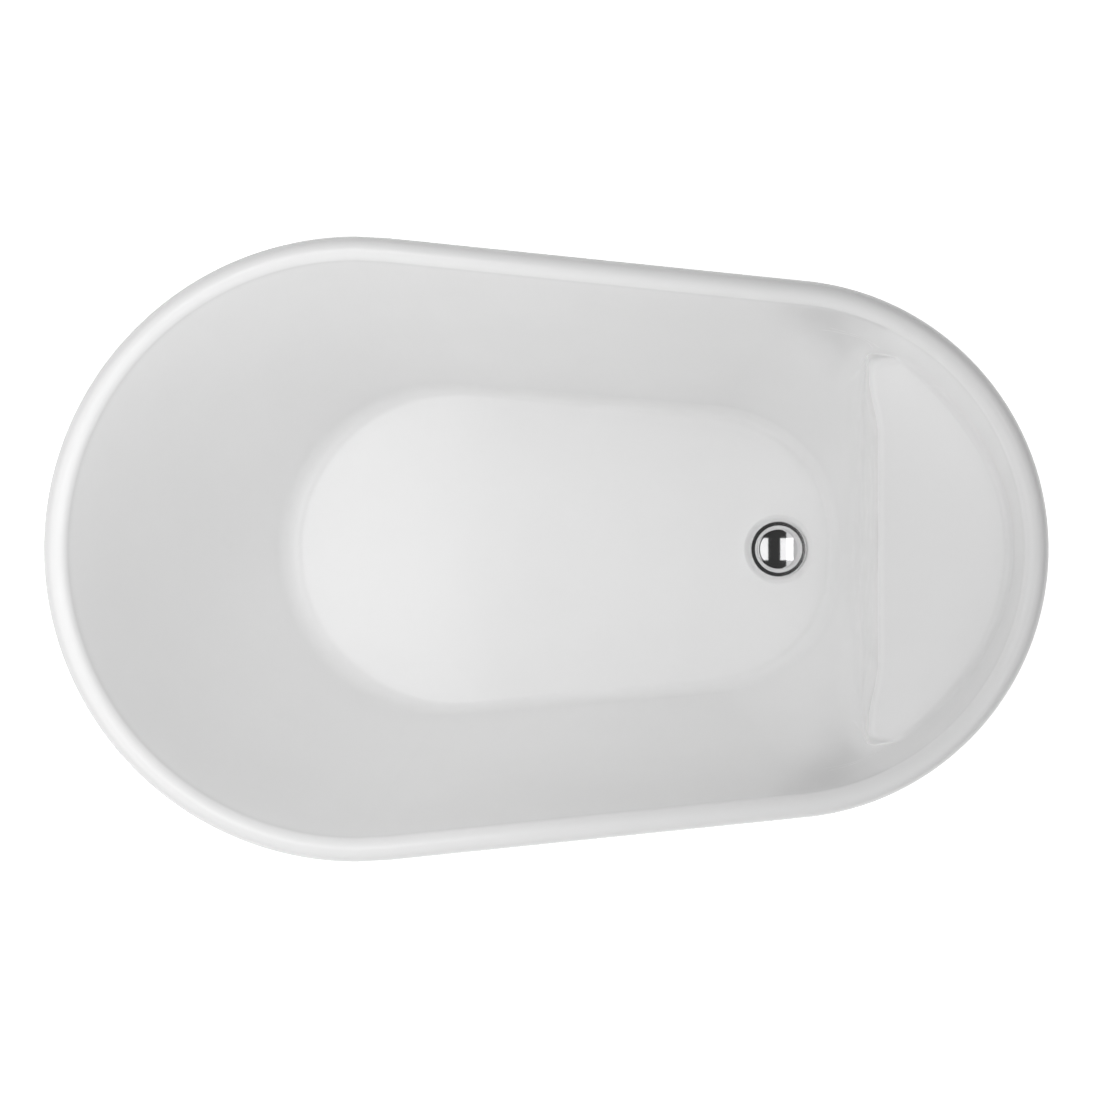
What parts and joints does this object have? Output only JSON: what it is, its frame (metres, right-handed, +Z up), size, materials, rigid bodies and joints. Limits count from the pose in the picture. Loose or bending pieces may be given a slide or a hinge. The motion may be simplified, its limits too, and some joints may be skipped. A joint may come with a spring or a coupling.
{
  "type": "freestanding bathtub",
  "caption": "Compact freestanding bathtub with a rolled rim, a wide sloping head end, a narrower foot end with a flat ledge, and a toe-tap waste; white acrylic on a levelling steel frame.",
  "frame": {"origin": "centre of the tub's box in plan, on the floor it stands on", "axes": "+X towards the narrow foot end with the ledge and the waste, +Y towards the tub's left side seen from the head, +Z up"},
  "size_m": [1.22, 0.7594, 0.6],
  "materials": {
    "acrylic": "high-gloss white cast acrylic, glass-fibre backed",
    "chrome": "polished chrome plate on brass",
    "brass": "turned brass",
    "steel": "galvanised",
    "rubber": "matte black",
    "nylon": "moulded white nylon",
    "plywood": "unfinished birch plywood"
  },
  "bodies": {
    "tub": {"basin_shell": "acrylic", "outer_skirt": "acrylic", "floor_board": "plywood", "ledge_board": "plywood", "frame_rail_left": "steel", "frame_rail_right": "steel", "frame_cross_head": "steel", "frame_cross_middle": "steel", "frame_cross_foot": "steel", "frame_tab_1": "steel", "frame_tab_2": "steel", "frame_tab_3": "steel", "frame_tab_4": "steel", "frame_tab_5": "steel", "frame_tab_6": "steel", "frame_screw_1": "steel", "frame_screw_2": "steel", "frame_screw_3": "steel", "frame_screw_4": "steel", "frame_screw_5": "steel", "frame_screw_6": "steel", "foot_weld_nut_1": "steel", "foot_weld_nut_2": "steel", "foot_weld_nut_3": "steel", "foot_weld_nut_4": "steel", "foot_lock_nut_1": "steel", "foot_lock_nut_2": "steel", "foot_lock_nut_3": "steel", "foot_lock_nut_4": "steel", "drain_body": "chrome", "drain_upper_seal": "rubber", "drain_lower_gasket": "rubber", "drain_friction_washer": "nylon", "drain_lock_nut": "brass", "tail_washer": "rubber", "tail_pipe": "brass", "tail_nut": "brass", "stopper_guide": "brass", "stopper_spring": "steel"},
    "foot_1": {"foot_stud_1": "steel", "foot_pad_1": "rubber"},
    "foot_2": {"foot_stud_2": "steel", "foot_pad_2": "rubber"},
    "foot_3": {"foot_stud_3": "steel", "foot_pad_3": "rubber"},
    "foot_4": {"foot_stud_4": "steel", "foot_pad_4": "rubber"},
    "stopper": {"stopper_cap": "chrome", "stopper_seal": "rubber", "stopper_plunger": "brass"}
  },
  "joints": [
    {"name": "foot_1_level", "type": "slide", "parent": "tub", "child": "foot_1", "axis": [0, 0, -1], "range_m": [-0.008, 0.015]},
    {"name": "foot_2_level", "type": "slide", "parent": "tub", "child": "foot_2", "axis": [0, 0, -1], "range_m": [-0.008, 0.015]},
    {"name": "foot_3_level", "type": "slide", "parent": "tub", "child": "foot_3", "axis": [0, 0, -1], "range_m": [-0.008, 0.015]},
    {"name": "foot_4_level", "type": "slide", "parent": "tub", "child": "foot_4", "axis": [0, 0, -1], "range_m": [-0.008, 0.015]},
    {"name": "stopper_lift", "type": "slide", "parent": "tub", "child": "stopper", "axis": [0, 0, 1], "range_m": [0, 0.009], "deforming": ["stopper_spring"]}
  ]
}
